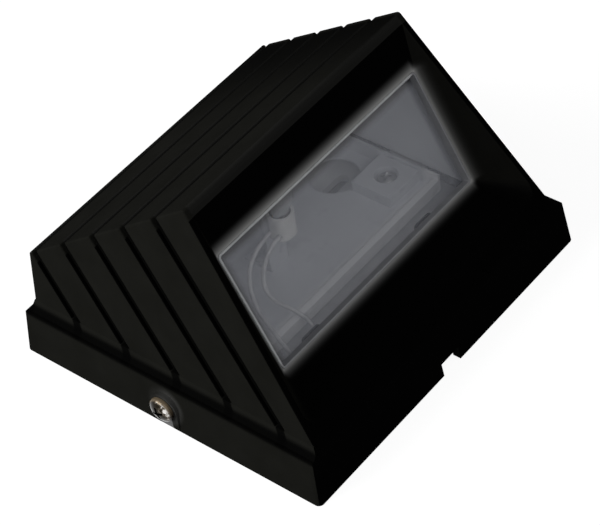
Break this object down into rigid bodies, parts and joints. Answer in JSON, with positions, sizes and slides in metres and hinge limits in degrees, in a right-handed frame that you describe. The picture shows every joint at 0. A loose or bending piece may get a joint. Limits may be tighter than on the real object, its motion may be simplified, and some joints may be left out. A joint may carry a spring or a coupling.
{
  "type": "step light",
  "caption": "Surface-mounted step light: black wedge-shaped cast cover with grooved ends and a recessed glazed window, over a back plate with reflector, lampholder and terminal block.",
  "frame": {"origin": "centre of the mounting back, on the wall plane", "axes": "+X along the length, +Z out of the wall, -Y the way the window faces, down on a wall"},
  "size_m": [0.1464, 0.128, 0.0895],
  "materials": {
    "cast_black": "satin black powder coat",
    "lens_glass": "clear float glass",
    "silicone": "pale translucent silicone",
    "spring_steel": "bright zinc",
    "bright_screw": "bright plated",
    "plate_metal": "as cast",
    "foam": "closed-cell foam",
    "white_sheet": "gloss white stove enamel",
    "ceramic": "white glazed ceramic",
    "brass": "plain",
    "lamp_glass": "clear blown glass",
    "tungsten": "drawn wire",
    "nylon": "natural nylon",
    "lead_sleeve": "silicone insulation",
    "black_rubber": "matt"
  },
  "bodies": {
    "base": {"back_plate": "plate_metal", "wall_gasket": "foam", "reflector": "white_sheet", "reflector_screws": "bright_screw", "lamp_bracket": "white_sheet", "bracket_rivets": "white_sheet", "lampholder": "ceramic", "lampholder_screw": "spring_steel", "lampholder_contacts": "brass", "terminal_block": "nylon", "terminal_inserts": "brass", "terminal_screws": "spring_steel", "terminal_mount_screw": "spring_steel", "cable_grommet": "black_rubber", "lead_front": "lead_sleeve", "lead_back": "lead_sleeve"},
    "cover": {"housing": "cast_black", "lens": "lens_glass", "lens_gasket": "silicone", "lens_clips": "spring_steel", "lens_clip_screws": "spring_steel"},
    "lamp": {"lamp_glass": "lamp_glass", "lamp_filament": "tungsten", "lamp_contacts": "tungsten"},
    "left_screw": {"cover_screw_left": "bright_screw"},
    "right_screw": {"cover_screw_right": "bright_screw"}
  },
  "joints": [
    {"name": "cover_lift", "type": "slide", "parent": "base", "child": "cover", "axis": [0, 0, 1], "range_m": [0, 0.1]},
    {"name": "lamp_pull", "type": "slide", "parent": "base", "child": "lamp", "axis": [0, 0, 1], "range_m": [0, 0.009]},
    {"name": "left_screw_slack", "type": "slide", "parent": "base", "child": "left_screw", "axis": [-1, 0, 0], "range_m": [0, 0.003]},
    {"name": "right_screw_slack", "type": "slide", "parent": "base", "child": "right_screw", "axis": [1, 0, 0], "range_m": [0, 0.003]}
  ]
}
